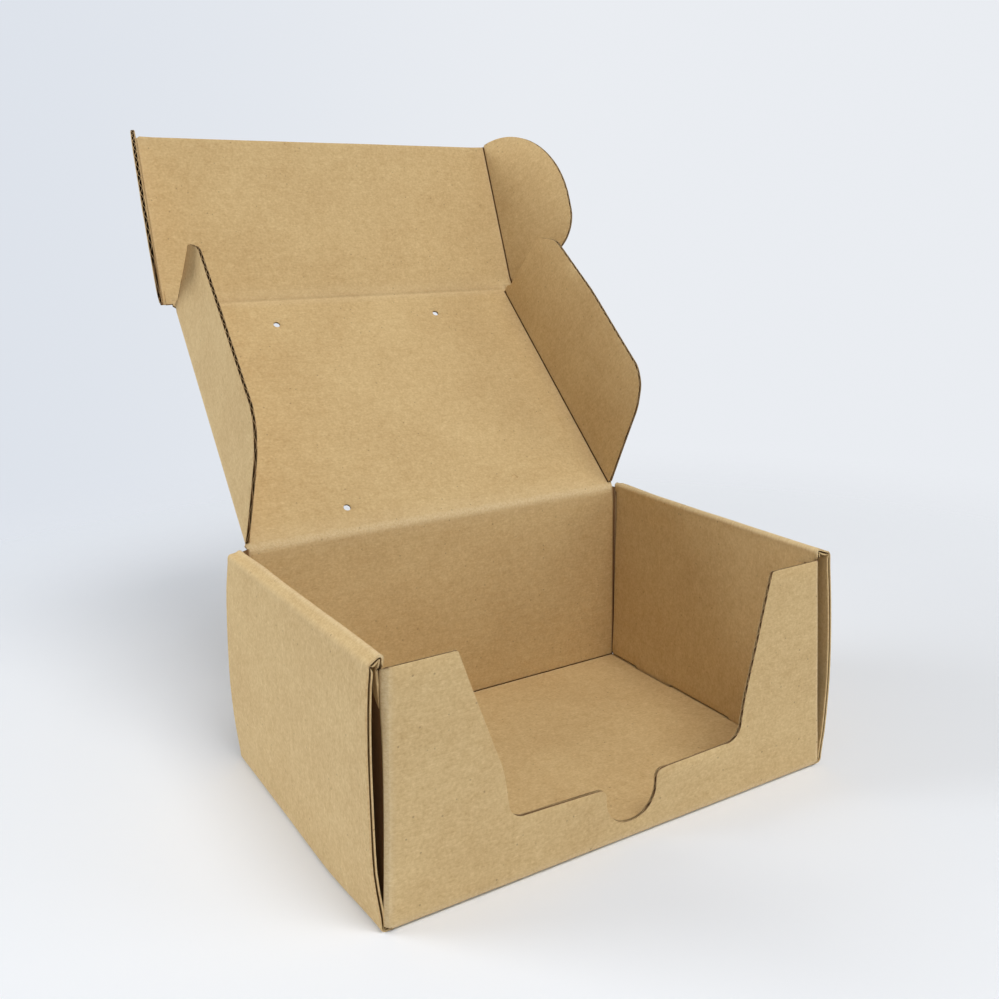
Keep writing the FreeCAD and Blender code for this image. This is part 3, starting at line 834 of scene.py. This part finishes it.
class MAILER_OT_ears(bpy.types.Operator):
    """Cut the two round ears of the tuck panel, with the crease strips that join them to it"""

    bl_idname = "mailer.ears"
    bl_label = "Ears"

    def execute(self, context):
        root = TUCK_CREASE
        for name, side in (("right", 1), ("left", -1)):
            low, top = (10, 107) if side < 0 else (14, 112)
            outline = [(EAR + SEAM, root + 0.6, 0), (EAR + 5, root + 1.2, 1), (EAR + 8, root + low / 2, 3),
                       (EAR + 69, root + low, 25), (EAR + 69, root + top, 66), (EAR + SEAM, root + top, 0)]
            outline = on_side(side, outline)
            across = [side * u for u in lines(EAR, EAR + 70, 8.6)]
            along = [root + 9 + 8.1 * k for k in range(13)]
            piece = board(name + "_ear_board", outline, across, along, tuck_place, fluted=outline)
            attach(piece, "ear_" + name)
            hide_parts("ear_" + name)
            strip = [(EAR - SEAM, root + 0.6, 0), (EAR + SEAM, root + 0.6, 0), (EAR + SEAM, root + top, 0.6),
                     (EAR - SEAM, TUCK_END, 0)]
            strip = on_side(side, strip)
            across = [side * u for u in crease_lines(EAR)]
            piece = board(name + "_ear_crease_strip", strip, across, along, tuck_place)
            bend_between(piece, "tuck", "ear_" + name,
                         (side * (EAR + EAR_SKEW[side]), *LID_EDGE), (side, 0, 0),
                         (side * EAR_WAY[0], -EAR_WAY[1] * TUCK_WAY[1], EAR_WAY[1] * TUCK_WAY[0]))
        return {"FINISHED"}


class MAILER_OT_stage(bpy.types.Operator):
    """Set the pale floor, the soft light and the camera"""

    bl_idname = "mailer.stage"
    bl_label = "Stage"

    def execute(self, context):
        settings = context.scene.mailer_stage
        pale = tuple(settings.backdrop) + (1,)
        disc = bmesh.new()
        bmesh.ops.create_circle(disc, cap_ends=True, segments=96, radius=2.4)
        mesh = bpy.data.meshes.new("floor")
        disc.to_mesh(mesh)
        disc.free()
        ground = bpy.data.objects.new("floor", mesh)
        context.scene.collection.objects.link(ground)
        material, finish = new_finish("pale floor")
        where = finish.node("ShaderNodeTexCoord", {}, {}, output="Object")
        away = finish.node("ShaderNodeVectorMath", {"operation": "LENGTH"}, {0: where}, output="Value")
        matt = finish.node("ShaderNodeBsdfDiffuse", {}, {"Color": tuple(settings.ground) + (1,)})
        clear = finish.node("ShaderNodeBsdfTransparent", {}, {})
        close(finish, finish.node("ShaderNodeMixShader", {}, {0: away.between(0.26, 0.85), 1: matt, 2: clear}))
        mesh.materials.append(material)

        world = bpy.data.worlds.new("studio")
        context.scene.world = world
        world.use_nodes = True
        finish = Finish(world.node_tree)
        path = finish.tree.nodes.new("ShaderNodeLightPath")
        seen = Wire(finish, path.outputs["Is Camera Ray"]) + Wire(finish, path.outputs["Is Glossy Ray"]) \
            + Wire(finish, path.outputs["Is Transmission Ray"])
        lit = finish.node("ShaderNodeBackground", {}, {"Color": (0.96, 0.98, 1.0, 1),
                                                       "Strength": settings.fill})
        where = finish.node("ShaderNodeTexCoord", {}, {}, output="Generated")
        across = finish.node("ShaderNodeVectorMath", {"operation": "DOT_PRODUCT"},
                             {0: where, 1: (0.855, -0.519, 0.0)}, output="Value")
        tone = finish.mix(across.between(-0.5, 0.12), tuple(settings.backdrop_left) + (1,), pale)
        shown = finish.node("ShaderNodeBackground", {}, {"Color": tone, "Strength": 1.0})
        close(finish, finish.node("ShaderNodeMixShader", {}, {0: seen.between(0, 1), 1: lit, 2: shown}),
              "ShaderNodeOutputWorld")

        for name, spot, size, power, tint in (
                ("key light", (0.05, -0.85, 1.75), 1.0, settings.key, (1.0, 0.985, 0.95)),
                ("right light", (1.25, -1.2, 0.8), 1.0, settings.key * 0.27, (1.0, 0.99, 0.96)),
                ("back light", (-1.5, 1.0, 0.9), 1.0, settings.key * 1.0, (0.95, 0.98, 1.0))):
            lamp = bpy.data.lights.new(name, "AREA")
            lamp.shape, lamp.size, lamp.energy, lamp.color = "DISK", size, power, tint
            holder = bpy.data.objects.new(name, lamp)
            holder.location = spot
            holder.rotation_euler = (Vector((0, 0.05, 0.15)) - Vector(spot)).to_track_quat("-Z", "Y").to_euler()
            context.scene.collection.objects.link(holder)

        lens = bpy.data.cameras.new("camera")
        camera = bpy.data.objects.new("camera", lens)
        context.scene.collection.objects.link(camera)
        context.scene.camera = camera
        turn, lift, roll = (math.radians(angle) for angle in (-31.25, 10.42, -0.78))
        toward = Vector((math.sin(turn) * math.cos(lift), -math.cos(turn) * math.cos(lift), math.sin(lift)))
        right = Vector((0, 0, 1)).cross(toward).normalized()
        up = toward.cross(right)
        spot = Vector((-16.38, 0, 190.26)) * MM + toward * 0.52556
        tilted = right * math.cos(roll) + up * math.sin(roll)
        upright = up * math.cos(roll) - right * math.sin(roll)
        camera.matrix_world = Matrix((tilted, upright, toward)).transposed().to_4x4()
        camera.location = spot
        width, focal, centre_row = 999, 1042.33, 420    # of the picture, in its own pixels
        lens.sensor_width = 36.0
        lens.lens = lens.sensor_width * focal / width
        lens.shift_y = -(width / 2 - centre_row) / width
        context.scene.view_settings.view_transform = "Standard"
        return {"FINISHED"}


class MAILER_PT_panel(bpy.types.Panel):
    """Sizes, colours and steps of the mailer"""

    bl_label = "Mailer"
    bl_idname = "MAILER_PT_panel"
    bl_space_type = "VIEW_3D"
    bl_region_type = "UI"
    bl_category = "Mailer"

    def draw(self, context):
        for group in (context.scene.mailer_board, context.scene.mailer_shape, context.scene.mailer_stage):
            for name in group.__annotations__:
                self.layout.prop(group, name)
        for step in STEPS:
            self.layout.operator(step.bl_idname)


STEPS = (MAILER_OT_tray, MAILER_OT_lid, MAILER_OT_lid_flaps, MAILER_OT_tuck, MAILER_OT_ears, MAILER_OT_stage)
GROUPS = (MailerBoard, MailerShape, MailerStage)


def register():
    for kind in GROUPS + STEPS + (MAILER_PT_panel,):
        bpy.utils.register_class(kind)
    bpy.types.Scene.mailer_board = PointerProperty(type=MailerBoard)
    bpy.types.Scene.mailer_shape = PointerProperty(type=MailerShape)
    bpy.types.Scene.mailer_stage = PointerProperty(type=MailerStage)


def unregister():
    del bpy.types.Scene.mailer_board, bpy.types.Scene.mailer_shape, bpy.types.Scene.mailer_stage
    for kind in reversed(GROUPS + STEPS + (MAILER_PT_panel,)):
        bpy.utils.unregister_class(kind)


def main():
    register()
    bpy.ops.mailer.tray()
    bpy.ops.mailer.lid()
    bpy.ops.mailer.lid_flaps()
    bpy.ops.mailer.tuck()
    bpy.ops.mailer.ears()
    bpy.ops.mailer.stage()


if __name__ == "__main__":
    main()
